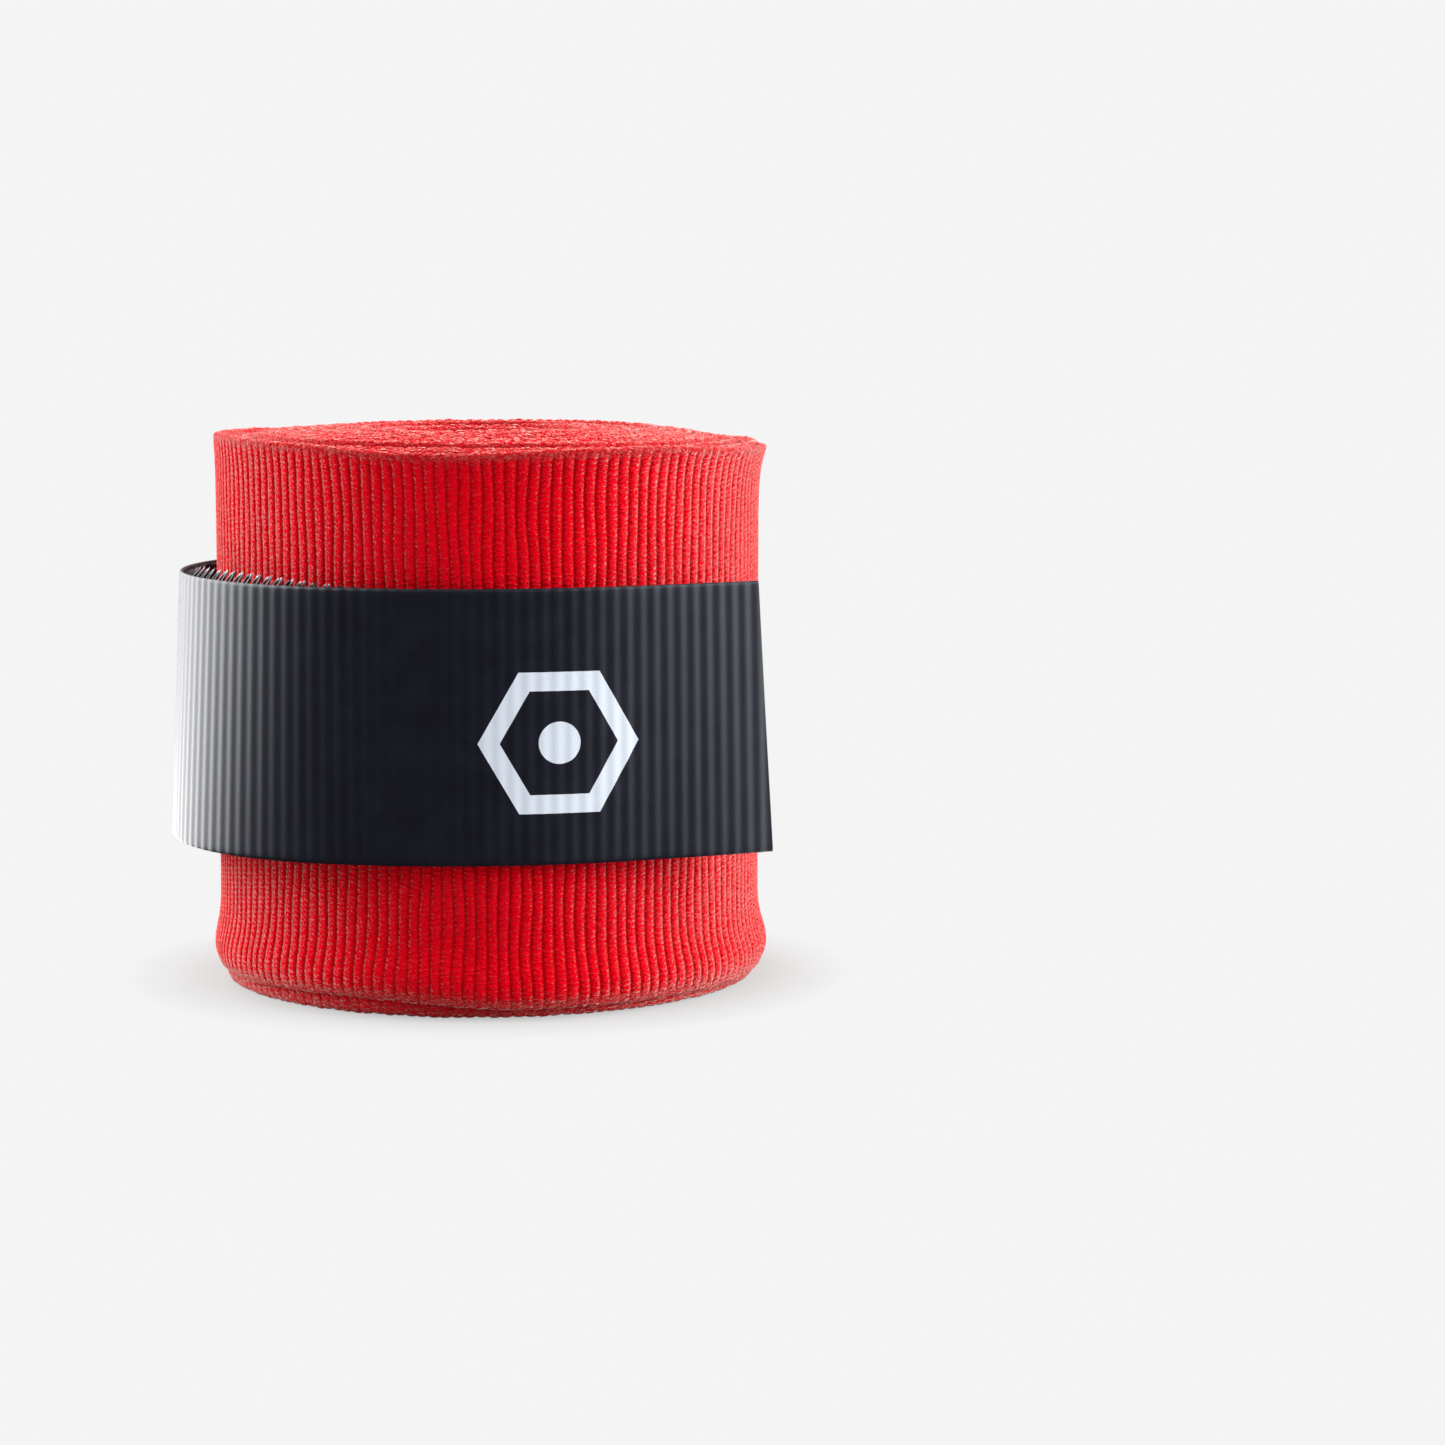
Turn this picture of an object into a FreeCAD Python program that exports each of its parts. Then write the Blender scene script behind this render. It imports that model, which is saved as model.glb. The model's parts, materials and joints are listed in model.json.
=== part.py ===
"""A rolled hand wrap: elastic webbing wound round its own thumb loop and closed by a hook strap.

The roll stands on its lower selvedge. The origin is on the roll's axis, at the floor. +Z is up,
-Y is the front, and the webbing winds outwards counter-clockwise seen from above. Millimetres.
"""

import FreeCAD, Part
import math
import os

from FreeCAD import Placement, Rotation, Vector

UP = Vector(0, 0, 1)

# Driving dimensions. Lengths are in millimetres, angles in degrees and counter-clockwise from +X.
DRIVING = {
    "web_width": 51.0,
    "web_thickness": 0.7,
    "turn_pitch": 0.843,
    "half_turns": 54,
    "core_radius": 3.0,
    "core_flat": 4.6,
    "tail_start": 32.0,
    "tail_end": 100.0,
    "joint_gap": 0.25,
    "loop_thickness": 0.9,
    "loop_half_turns": 4,
    "loop_inner_radius": 0.56,
    "loop_pitch": 1.0,
    "loop_flat": 4.2,
    "loop_inset": 0.8,
    "loop_leg": 9.5,
    "loop_crown": 6.0,
    "loop_window": 0.98,
    "strap_width": 25.0,
    "strap_centre": 26.6,
    "backing_thickness": 0.35,
    "hook_height": 0.75,
    "hook_thickness": 0.45,
    "hook_pitch": 1.3,
    "hook_clearance": 0.08,
    "root_length": 18.0,
    "section_length": 13.6,
    "section_1_turn": 31.0,
    "section_2_turn": 21.0,
    "section_3_turn": 29.0,
    "section_4_turn": 33.5,
    "section_5_turn": 33.5,
    "section_6_turn": 21.5,
    "section_7_turn": 21.0,
    "section_8_turn": 4.5,
    "stitch_length": 2.0,
    "stitch_pitch": 2.9,
    "stitch_width": 0.4,
    "stitch_height": 0.25,
    "stitch_margin": 2.2,
    "stitch_clearance": 0.02,
}

SECTIONS = 8  # of the strap, from its sewn root to its free tip, each with its own turn round the roll

doc = FreeCAD.newDocument("hand_wrap")
sheet = doc.addObject("Spreadsheet::Sheet", "sizes")
for row, (alias, value) in enumerate(DRIVING.items(), start=1):
    sheet.set(f"A{row}", alias)
    sheet.set(f"B{row}", str(value))
    sheet.setAlias(f"B{row}", alias)
doc.recompute()

size = {alias: float(sheet.get(alias)) for alias in DRIVING}
half_turns = int(size["half_turns"])
loop_half_turns = int(size["loop_half_turns"])


# ---------------------------------------------------------------- centrelines
class Run:
    """One piece of a centreline: an arc that turns left about its centre, or a straight."""

    def __init__(self, start, heading, length, turn=0.0):
        self.start = start
        self.heading = heading
        self.length = length
        self.turn = turn
        if turn:
            self.radius = length / math.radians(turn)
            self.centre = start + self.radius * left_of(heading)

    def at(self, share, offset=0.0):
        """The point a share of the way along, an offset to the right of the line."""
        heading = self.heading + share * self.turn
        if self.turn:
            return self.centre - (self.radius + offset) * left_of(heading)
        forward = share * self.length
        return self.start + forward * along(heading) - offset * left_of(heading)

    def edge(self, offset, first=0.0, last=1.0):
        """The arc or line at that offset, between two shares of the run."""
        if self.turn:
            middle = (first + last) / 2
            points = [self.at(share, offset) for share in (first, middle, last)]
            return Part.Arc(*points)
        return Part.LineSegment(self.at(first, offset), self.at(last, offset))


def along(heading):
    return Vector(math.cos(math.radians(heading)), math.sin(math.radians(heading)), 0)


def left_of(heading):
    return along(heading + 90)


def wound(radius, pitch, flats):
    """The runs of an oval winding: each half-turn is a semicircle and a flat of its own length."""
    runs = []
    point, heading = Vector(0, 0, 0), 0.0
    for number, flat in enumerate(flats):
        arc_radius = radius + number * pitch / 2
        runs.append(Run(point, heading, math.pi * arc_radius, 180.0))
        point, heading = runs[-1].at(1), heading + 180
        runs.append(Run(point, heading, flat))
        point = runs[-1].at(1)
    return runs


def turned(runs, angle, shift):
    """The same runs, shifted and then turned about the roll's axis."""
    moved = []
    for run in runs:
        start = Rotation(UP, angle).multVec(run.start + shift)
        moved.append(Run(start, run.heading + angle, run.length, run.turn))
    return moved


def band_profile(runs, thickness, first=0.0, last=1.0):
    """The closed outline of a strip of even thickness that follows the runs."""
    inner = [run.edge(-thickness / 2) for run in runs[1:-1]]
    outer = [run.edge(thickness / 2) for run in runs[1:-1]]
    if len(runs) == 1:
        inner = [runs[0].edge(-thickness / 2, first, last)]
        outer = [runs[0].edge(thickness / 2, first, last)]
    else:
        for side, offset in ((inner, -thickness / 2), (outer, thickness / 2)):
            side.insert(0, runs[0].edge(offset, first, 1.0))
            side.append(runs[-1].edge(offset, 0.0, last))
    caps = [
        Part.LineSegment(runs[0].at(first, -thickness / 2), runs[0].at(first, thickness / 2)),
        Part.LineSegment(runs[-1].at(last, -thickness / 2), runs[-1].at(last, thickness / 2)),
    ]
    return inner + outer + caps


# -------------------------------------------------------------- body features
def new_body(name):
    body = doc.addObject("PartDesign::Body", name)
    body.Label = name
    return body


def new_sketch(body, name, outlines, height=None):
    """A sketch on the body's XY plane, raised by an expression if it has a height."""
    plane = next(o for o in body.Origin.OriginFeatures if o.Role == "XY_Plane")
    sketch = body.newObject("Sketcher::SketchObject", f"{body.Name}_{name}")
    sketch.AttachmentSupport = (plane, [""])
    sketch.MapMode = "FlatFace"
    if height:
        sketch.setExpression("AttachmentOffset.Base.z", height)
    for outline in outlines:
        sketch.addGeometry(outline, False)
    return sketch


def new_pad(body, sketch, length):
    pad = body.newObject("PartDesign::Pad", f"{sketch.Name}_pad")
    pad.Profile = sketch
    pad.setExpression("Length", length)
    sketch.Visibility = False
    return pad


def cut_pocket(body, sketch, length):
    """A pocket that cuts upwards from its sketch, and has to take material away."""
    smallest_cut = 1.0
    doc.recompute()
    before = body.Shape.Volume
    pocket = body.newObject("PartDesign::Pocket", f"{sketch.Name}_pocket")
    pocket.Profile = sketch
    pocket.setExpression("Length", length)
    pocket.Reversed = True
    doc.recompute()
    if body.Shape.Volume > before - smallest_cut:
        raise RuntimeError(f"{pocket.Name} cuts nothing")


# ---------------------------------------------------------------- the webbing
def webbing_runs():
    """The whole winding, centred on its outer turns, with the tail as its last run."""
    flats = [size["core_flat"] * (1 - number / half_turns) for number in range(half_turns)]
    runs = wound(size["core_radius"], size["turn_pitch"], flats)
    last_arcs = (runs[-2], runs[-4])
    centre = (last_arcs[0].centre + last_arcs[1].centre) / 2
    runs = turned(runs, size["tail_start"] + 90, -centre)
    tail_radius = size["core_radius"] + half_turns * size["turn_pitch"] / 2
    tail_turn = size["tail_end"] - size["tail_start"]
    end = runs[-1]
    tail = Run(end.at(1), end.heading, tail_radius * math.radians(tail_turn), tail_turn)
    return runs, tail


def make_webbing(runs, tail):
    """The rolled webbing, and the length at its outer end that carries the strap."""
    band = new_body("wrap_band")
    outline = band_profile(runs, size["web_thickness"])
    new_pad(band, new_sketch(band, "spiral", [outline]), "sizes.web_width")

    tail_body = new_body("wrap_tail")
    gap_share = size["joint_gap"] / tail.length
    outline = band_profile([tail], size["web_thickness"], gap_share, 1.0)
    new_pad(tail_body, new_sketch(tail_body, "arc", [outline]), "sizes.web_width")


# ------------------------------------------------------------- the thumb loop
def loop_runs(first_web_run):
    """The loop's winding, laid inside the webbing's first half-turns."""
    flats = [size["loop_flat"]] * loop_half_turns
    runs = wound(size["loop_inner_radius"], size["loop_pitch"], flats)[:-1]
    middle = (runs[0].centre + runs[2].centre) / 2
    core_middle = first_web_run.centre + size["core_flat"] / 2 * along(first_web_run.heading + 180)
    angle = first_web_run.heading
    placed = turned(runs, angle, -middle)
    for run in placed:
        run.start = run.start + core_middle
        if run.turn:
            run.centre = run.centre + core_middle
    return placed


def make_thumb_loop(runs):
    """A flat tape with a long window, so that it has a leg along each selvedge and a crown."""
    body = new_body("thumb_loop")
    outline = band_profile(runs, size["loop_thickness"])
    tape = new_sketch(body, "tape", [outline], "sizes.loop_inset")
    new_pad(body, tape, "sizes.web_width - 2 * sizes.loop_inset")

    crown_share = size["loop_crown"] / 2 / runs[1].length
    outline = band_profile(runs[1:-1], size["loop_window"], crown_share, 0.5)
    window = new_sketch(body, "window", [outline], "sizes.loop_leg + sizes.loop_inset")
    cut_pocket(body, window, "sizes.web_width - 2 * sizes.loop_inset - 2 * sizes.loop_leg")


# ------------------------------------------------------------------ the strap
def strap_runs(tail):
    """The sewn root and then one run for each section, each tangent to the one before."""
    stand = size["hook_clearance"] + size["hook_height"] + size["backing_thickness"] / 2
    root_radius = tail.radius + size["web_thickness"] / 2 + stand
    root_turn = math.degrees(size["root_length"] / root_radius)
    first_heading = tail.heading + tail.turn - root_turn
    start = tail.centre - root_radius * left_of(first_heading)
    runs = [Run(start, first_heading, size["root_length"], root_turn)]
    for number in range(1, SECTIONS + 1):
        before = runs[-1]
        turn = size[f"section_{number}_turn"]
        runs.append(Run(before.at(1), before.heading + before.turn, size["section_length"], turn))
    return runs


def hook_rail(run, share):
    """The outline of one hook row: it grows inwards from inside the backing."""
    half = size["hook_thickness"] / 2 / run.length
    top = -size["backing_thickness"] / 4
    tip = -size["backing_thickness"] / 2 - size["hook_height"]
    corners = [
        run.at(share - half, top),
        run.at(share + half, top),
        run.at(share + half, tip),
        run.at(share - half, tip),
    ]
    return [Part.LineSegment(a, b) for a, b in zip(corners, corners[1:] + corners[:1])]


def make_strap_piece(name, run):
    """A length of moulded hook tape: a backing outside, and rows of hooks on its inner side."""
    body = new_body(name)
    gap_share = size["joint_gap"] / 2 / run.length
    bottom = "sizes.strap_centre - sizes.strap_width / 2"
    outline = band_profile([run], size["backing_thickness"], gap_share, 1 - gap_share)
    new_pad(body, new_sketch(body, "backing", [outline], bottom), "sizes.strap_width")
    rows = int(run.length / size["hook_pitch"])
    rails = [hook_rail(run, (row + 0.5) / rows) for row in range(rows)]
    new_pad(body, new_sketch(body, "hooks", rails, bottom), "sizes.strap_width")


# --------------------------------------------------------------- the stitches
def stitch_along(run, share, height, offset):
    """A stitch that lies along the run, bent to its curve."""
    half = size["stitch_length"] / 2 / run.length
    first, last = share - half, share + half
    top = offset + size["stitch_height"]
    edges = [run.edge(offset, first, last), run.edge(top, first, last)]
    for end in (first, last):
        edges.append(Part.LineSegment(run.at(end, offset), run.at(end, top)))
    face = Part.Face(Part.Wire(Part.__sortEdges__([edge.toShape() for edge in edges])))
    face.translate(UP * (height - size["stitch_width"] / 2))
    return face.extrude(UP * size["stitch_width"])


def stitch_upright(run, share, height, offset):
    """A stitch that stands upright on the run."""
    box = Part.makeBox(size["stitch_width"], size["stitch_height"], size["stitch_length"])
    box.translate(Vector(-size["stitch_width"] / 2, 0, -size["stitch_length"] / 2))
    heading = run.heading + share * run.turn
    place = run.at(share, offset) + UP * height
    box.Placement = Placement(place, Rotation(UP, heading + 180)).multiply(box.Placement)
    return box


def add_group(name, solids):
    feature = doc.addObject("Part::Feature", name)
    feature.Label = name
    feature.Shape = Part.makeCompound(solids)
    feature.Placement = Placement()


def spaced(low, high):
    """Stitch centres, evenly spaced between two ends."""
    count = int((high - low) / size["stitch_pitch"])
    return [low + (high - low) * (number + 0.5) / count for number in range(count)]


def make_strap_stitches(root):
    """A box of stitches that holds the strap's root to the webbing's tail."""
    surface = size["backing_thickness"] / 2 + size["stitch_clearance"]
    low = size["strap_centre"] - size["strap_width"] / 2 + size["stitch_margin"]
    high = size["strap_centre"] + size["strap_width"] / 2 - size["stitch_margin"]
    margin = size["stitch_margin"] / root.length
    solids = []
    for share in spaced(size["stitch_margin"], root.length - size["stitch_margin"]):
        for height in (low, high):
            solids.append(stitch_along(root, share / root.length, height, surface))
    for height in spaced(low, high):
        for share in (margin, 1 - margin):
            solids.append(stitch_upright(root, share, height, surface))
    add_group("strap_stitches", solids)


def make_loop_stitches(run):
    """Two rows of stitches on the end of the thumb loop, where it is sewn to the webbing."""
    surface = size["loop_thickness"] / 2 + size["stitch_clearance"]
    solids = []
    margin = size["loop_inset"] + size["stitch_margin"]
    for height in spaced(margin, size["web_width"] - margin):
        for share in (0.35, 0.75):
            solids.append(stitch_upright(run, share, height, surface))
    add_group("loop_stitches", solids)


def check_and_export():
    """Every object has to be sound before any file is written."""
    doc.recompute()
    for item in doc.Objects:
        if {"Invalid", "Error"} & set(item.State):
            raise RuntimeError(f"{item.Name} failed: {item.State}")
    pieces = [item for item in doc.Objects if item.TypeId in ("PartDesign::Body", "Part::Feature")]
    for piece in pieces:
        if piece.Shape.isNull() or not piece.Shape.isValid():
            raise RuntimeError(f"{piece.Label} has no valid shape")
    os.makedirs("parts", exist_ok=True)
    for piece in pieces:
        piece.Shape.exportStep(f"parts/{piece.Label}.step")
        box = piece.Shape.BoundBox
        print(
            f"{piece.Label}: {len(piece.Shape.Solids)} solids, {piece.Shape.Volume:.1f} mm3,"
            f" x {box.XMin:.2f}..{box.XMax:.2f} y {box.YMin:.2f}..{box.YMax:.2f}"
            f" z {box.ZMin:.2f}..{box.ZMax:.2f}"
        )


web_runs, tail_run = webbing_runs()
make_webbing(web_runs, tail_run)
loop = loop_runs(web_runs[0])
make_thumb_loop(loop)
make_loop_stitches(loop[-1])
strap = strap_runs(tail_run)
make_strap_piece("strap_root", strap[0])
for number, section in enumerate(strap[1:], start=1):
    make_strap_piece(f"strap_section_{number}", section)
make_strap_stitches(strap[0])
check_and_export()

web_length = sum(run.length for run in web_runs) + tail_run.length
print(f"webbing {web_length:.0f} mm long, thumb loop {sum(run.length for run in loop):.0f} mm")
print(f"tail hinge {web_runs[-1].at(1)}")
for number, section in enumerate(strap[1:], start=1):
    polar = [math.degrees(math.atan2(p.y, p.x)) % 360 for p in (section.at(0), section.at(1))]
    reach = [math.hypot(p.x, p.y) for p in (section.at(0), section.at(0.5), section.at(1))]
    print(
        f"hinge {number} at {section.start.x:.4f} {section.start.y:.4f}, turn {section.turn},"
        f" angles {polar[0]:.1f} to {polar[1]:.1f}, radii {reach[0]:.2f} {reach[1]:.2f} {reach[2]:.2f}"
    )
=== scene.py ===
"""The looks of a rolled hand wrap: ribbed elastic webbing, a moulded hook strap and a thumb loop."""
import json
import math

import bpy
import numpy as np
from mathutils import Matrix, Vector


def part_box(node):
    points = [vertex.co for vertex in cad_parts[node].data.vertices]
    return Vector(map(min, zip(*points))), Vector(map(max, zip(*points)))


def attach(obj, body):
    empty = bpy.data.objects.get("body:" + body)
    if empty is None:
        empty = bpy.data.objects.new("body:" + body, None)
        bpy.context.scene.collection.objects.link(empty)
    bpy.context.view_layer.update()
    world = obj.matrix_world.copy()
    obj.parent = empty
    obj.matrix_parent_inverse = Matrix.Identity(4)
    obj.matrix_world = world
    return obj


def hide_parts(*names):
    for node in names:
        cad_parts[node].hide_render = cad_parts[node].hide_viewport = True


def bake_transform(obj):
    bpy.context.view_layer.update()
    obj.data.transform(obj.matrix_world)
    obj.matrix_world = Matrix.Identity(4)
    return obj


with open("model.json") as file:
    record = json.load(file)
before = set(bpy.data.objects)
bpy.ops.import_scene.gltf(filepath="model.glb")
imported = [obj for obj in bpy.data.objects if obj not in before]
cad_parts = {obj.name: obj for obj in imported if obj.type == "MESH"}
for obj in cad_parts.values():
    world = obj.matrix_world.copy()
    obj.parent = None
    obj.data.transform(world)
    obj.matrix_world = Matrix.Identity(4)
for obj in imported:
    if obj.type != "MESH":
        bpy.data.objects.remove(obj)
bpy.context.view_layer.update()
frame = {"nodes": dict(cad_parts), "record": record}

MM = 0.001
JOINTS = {joint["name"]: joint for joint in frame["record"]["behaviour"]["joints"]}

# The winding, as the CAD has it: an oval spiral that ends in the tail under the strap's root.
HALF_TURNS = 54
TURN_PITCH = 0.843 * MM
CORE_RADIUS = 3.0 * MM
CORE_FLAT = 4.6 * MM
TAIL_START = math.radians(32)
TAIL_TURN = math.radians(68)
WEB_THICKNESS = 0.72 * MM
ROLL_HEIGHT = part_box("wrap_band")[1].z

# The knit: one rib across the webbing's width for each pitch along its length.
RIB_PITCH = 1.04 * MM
RIB_HEIGHT = 0.135 * MM
RIB_LEVEL = 0.6  # of a rib's height, at the webbing's nominal thickness
RIB_BACK = 0.4  # a rib's height on the inner face, as a share of the outer one
RIB_PHASES = (-0.5, -0.42, -0.3, -0.12, 0.12, 0.3, 0.42)  # its columns, in pitches from its middle
HIDDEN_PHASES = (-0.5, -0.2, 0.2)
EDGE_RADIUS = 0.36 * MM
EDGE_BAND = 0.8 * MM
EDGE_THINNING = 0.20
EDGE_GROOVE = 0.12  # a groove's depth at the selvedges, as a share of its full depth

# The strap.
EDGE_TRIM = 0.1 * MM
STRAP_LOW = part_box("strap_section_6")[0].z + EDGE_TRIM
STRAP_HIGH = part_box("strap_section_6")[1].z - EDGE_TRIM
STRAP_MIDDLE = (STRAP_LOW + STRAP_HIGH) / 2
STRAP_WIDTH = STRAP_HIGH - STRAP_LOW
BACKING = 0.35 * MM
ROOT_LENGTH = 18.0 * MM
SECTIONS = 8
HOOK_PITCH = 1.3 * MM
HOOK_HEIGHT = 0.75 * MM
HOOK_SPACING = 0.66 * MM
TAPE_RIB = 0.030 * MM
TIP_SLANT = math.tan(math.radians(2.6))  # its free end is cut at this slant
TIP_LENGTH = 8 * MM  # the slant comes in over this length
TIP_RISE = 18 * MM  # over this length its free end lifts off the roll
TIP_LEAN = 0.7  # how far the free end's lower corner lifts, in millimetres
BULGE_LENGTHS = (32 * MM, 54 * MM, 70 * MM, 98 * MM)  # where it stands off the roll
BULGE_LEAN = 1.1  # how far its lower edge stands off there, in millimetres
RIM_LENGTHS = (60 * MM, 68 * MM, 74 * MM, 93 * MM)  # where its uppermost hooks show past its rim
ROOT_BEND = 3 * MM  # the first section's bend_from lies this far before the first hinge
SEAM = 0.01 * MM  # columns this close to a piece's end keep the shading level across the seam


# ------------------------------------------------------------------- paths
class Path:
    """Arcs and straights joined end to end, seen from above, measured by length along them."""

    def __init__(self, start, heading, runs):
        """runs are (length, turn) pairs, turning left, in metres and radians."""
        starts, headings, curvatures, lengths = [np.array(start, float)], [heading], [], []
        for length, turn in runs:
            curvature = turn / length
            curvatures.append(curvature)
            lengths.append(length)
            starts.append(starts[-1] + self.step(headings[-1], curvature, length))
            headings.append(headings[-1] + turn)
        self.starts = np.array(starts)
        self.headings = np.array(headings)
        self.curvatures = np.array(curvatures)
        self.ends = np.cumsum(lengths)
        self.length = float(self.ends[-1])

    @staticmethod
    def step(heading, curvature, length):
        """The way gone from a run's start."""
        turn = np.asarray(curvature * length)
        half = turn / 2
        chord = length * np.sinc(half / np.pi)
        return np.stack([chord * np.cos(heading + half), chord * np.sin(heading + half)], axis=-1)

    def run_of(self, s):
        """Which run each length falls in, and how far along that run."""
        run = np.clip(np.searchsorted(self.ends, s), 0, len(self.ends) - 1)
        before = np.concatenate([[0], self.ends])[run]
        return run, s - before

    def heading(self, s):
        """The path's direction at those lengths, in radians."""
        run, along = self.run_of(s)
        return self.headings[run] + self.curvatures[run] * along

    def at(self, s, offset=0.0):
        """The points at those lengths, moved outwards (to the right of the path) by offset."""
        run, along = self.run_of(s)
        heading = self.headings[run] + self.curvatures[run] * along
        points = self.starts[run] + self.step(self.headings[run], self.curvatures[run], along)
        outward = np.stack([np.sin(heading), -np.cos(heading)], axis=-1)
        return points + np.asarray(offset)[..., None] * outward


def joint_point(name):
    """Where a joint's upright axis stands, seen from above."""
    return np.array(JOINTS[name]["pos_m"][:2])


def make_web_path():
    """The winding, placed so that its tail starts at the tail's hinge."""
    runs = []
    for number in range(HALF_TURNS):
        radius = CORE_RADIUS + number * TURN_PITCH / 2
        flat = CORE_FLAT * (1 - number / HALF_TURNS)
        runs += [(math.pi * radius, math.pi), (flat, 0.0)]
    band = Path((0, 0), 0.0, runs)
    tail_radius = CORE_RADIUS + HALF_TURNS * TURN_PITCH / 2
    runs.append((tail_radius * TAIL_TURN, TAIL_TURN))
    first_heading = TAIL_START + math.pi / 2 - HALF_TURNS * math.pi
    cos, sin = math.cos(first_heading), math.sin(first_heading)
    end = band.starts[-1]
    start = joint_point("tail_lift") - (cos * end[0] - sin * end[1], sin * end[0] + cos * end[1])
    return Path(start, first_heading, runs), band.length


def make_strap_path():
    """The sewn root and the eight sections, through the joints' places."""
    names = ["strap_peel" if n == 5 else f"strap_bend_{n}" for n in range(1, SECTIONS + 1)]
    places = [joint_point(name) for name in names]
    turns = [math.radians(JOINTS[name]["range_deg"][1]) for name in names]
    chord = places[1] - places[0]
    heading = math.atan2(chord[1], chord[0]) - turns[0] / 2
    length = float(np.linalg.norm(chord)) * turns[0] / 2 / math.sin(turns[0] / 2)
    root_turn = ROOT_LENGTH / float(np.linalg.norm(places[0]))
    runs = [(ROOT_LENGTH, root_turn)] + [(length, turn) for turn in turns]
    root = Path((0, 0), heading - root_turn, runs[:1])
    return Path(places[0] - root.starts[-1], heading - root_turn, runs), length


WEB, BAND_LENGTH = make_web_path()
STRAP, SECTION_LENGTH = make_strap_path()
TURN_BEFORE_END = np.interp(WEB.headings[-1] - 2 * math.pi, WEB.headings, np.append(0, WEB.ends))
LAST_TURN = WEB.length - float(TURN_BEFORE_END)


# ------------------------------------------------------------------- noise
WAVES = 7


def wander(x, scale, seed, y=0.0, scale_y=1.0):
    """Smooth seeded noise between about -1 and 1, with features about one scale long."""
    random = np.random.default_rng(seed)
    total = 0.0
    for _ in range(WAVES):
        turn_x, turn_y = random.uniform(-1, 1, 2)
        phase = random.uniform(0, 2 * math.pi)
        total = total + np.sin(math.pi * (turn_x * x / scale + turn_y * y / scale_y) + phase)
    return total / (WAVES / 2)


def smooth(x, low, high):
    """0 below low, 1 above high, and a smooth step between."""
    t = np.clip((x - low) / (high - low), 0, 1)
    return t * t * (3 - 2 * t)


def between(x, start, full, last, end):
    """1 from full to last, 0 before start and after end, and smooth steps between."""
    return smooth(x, start, full) * (1 - smooth(x, last, end))


# ------------------------------------------------------------------- meshes
def new_object(name, points, faces, uv, values):
    """A mesh object. uv is a pair for each point, and values are named numbers for each point."""
    mesh = bpy.data.meshes.new(name)
    mesh.from_pydata(points.tolist(), [], [list(face) for face in faces])
    mesh.shade_smooth()
    for polygon in mesh.polygons:
        if len(polygon.vertices) > 4:
            polygon.use_smooth = False
    corners = np.zeros(len(mesh.loops), np.int32)
    mesh.loops.foreach_get("vertex_index", corners)
    layer = mesh.uv_layers.new(name="UVMap")
    layer.data.foreach_set("uv", uv[corners].astype(np.float32).ravel())
    for key, value in values.items():
        attribute = mesh.attributes.new(key, "FLOAT", "POINT")
        attribute.data.foreach_set("value", value.astype(np.float32))
    item = bpy.data.objects.new(name, mesh)
    bpy.context.scene.collection.objects.link(item)
    return item


def tube_faces(columns, rows):
    """Faces of a tube made of closed loops of points, one loop a column, with its two ends capped."""
    base = np.arange(columns - 1)[:, None] * rows
    row = np.arange(rows)[None, :]
    after = (row + 1) % rows
    quads = np.stack([base + row, base + rows + row, base + rows + after, base + after], axis=-1)
    caps = [range(rows - 1, -1, -1), range((columns - 1) * rows, columns * rows)]
    return quads.reshape(-1, 4).tolist() + [list(cap) for cap in caps]


def joined(parts):
    """One set of points, faces, uv and values from several."""
    points, faces, uv, values, count = [], [], [], {}, 0
    for part_points, part_faces, part_uv, part_values in parts:
        points.append(part_points)
        faces += [[index + count for index in face] for face in part_faces]
        uv.append(part_uv)
        for key, value in part_values.items():
            values.setdefault(key, []).append(value)
        count += len(part_points)
    merged = {key: np.concatenate(value) for key, value in values.items()}
    return np.concatenate(points), faces, np.concatenate(uv), merged


# ------------------------------------------------------------------ webbing
def turns_from_end(s):
    """How many turns lie outside this place of the webbing, from 0 at its outer end."""
    return (WEB.headings[-1] - WEB.heading(s)) / (2 * math.pi)


# Heights and offsets below are in millimetres, and n counts turns from the webbing's outer end.
OUTER_TURN = (0.95, 1.25)  # over these turns the outer turn's shape gives way to the inner ones'
EDGE_LOOP_DEPTH = 0.1  # how far the selvedge's small loops reach past its line

# How much higher the next turn and the inner turns stand: (on the right, added on the left).
NEXT_RISE = (0.10, 0.35)
INNER_RISE = (1.05, -0.40)
CORE_DROP = 0.9  # the core sinks again by this much

# How the outer turn's selvedges rise and fall round the roll: (degrees, millimetres) from the right.
TOP_EDGE = (
    (0, -0.45), (60, 0.0), (120, 0.2), (160, 0.9), (200, 1.0), (230, 0.75),
    (250, 0.15), (270, 0.0), (282, 0.4), (306, 0.5), (325, 0.0),
)
BOTTOM_EDGE = (
    (0, 1.1), (60, 0.9), (120, 1.3), (200, 1.5), (240, 1.7),
    (255, 1.5), (270, 0.95), (300, 0.9), (330, 0.9),
)


def round_the_roll(s, table):
    """A table's value at each place's angle, with its corners eased."""
    angle = np.degrees(WEB.heading(s)) - 90
    degrees, values = np.array(table, float).T
    return sum(np.interp(angle + shift, degrees, values, period=360) for shift in (-5, 0, 5)) / 3


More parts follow.
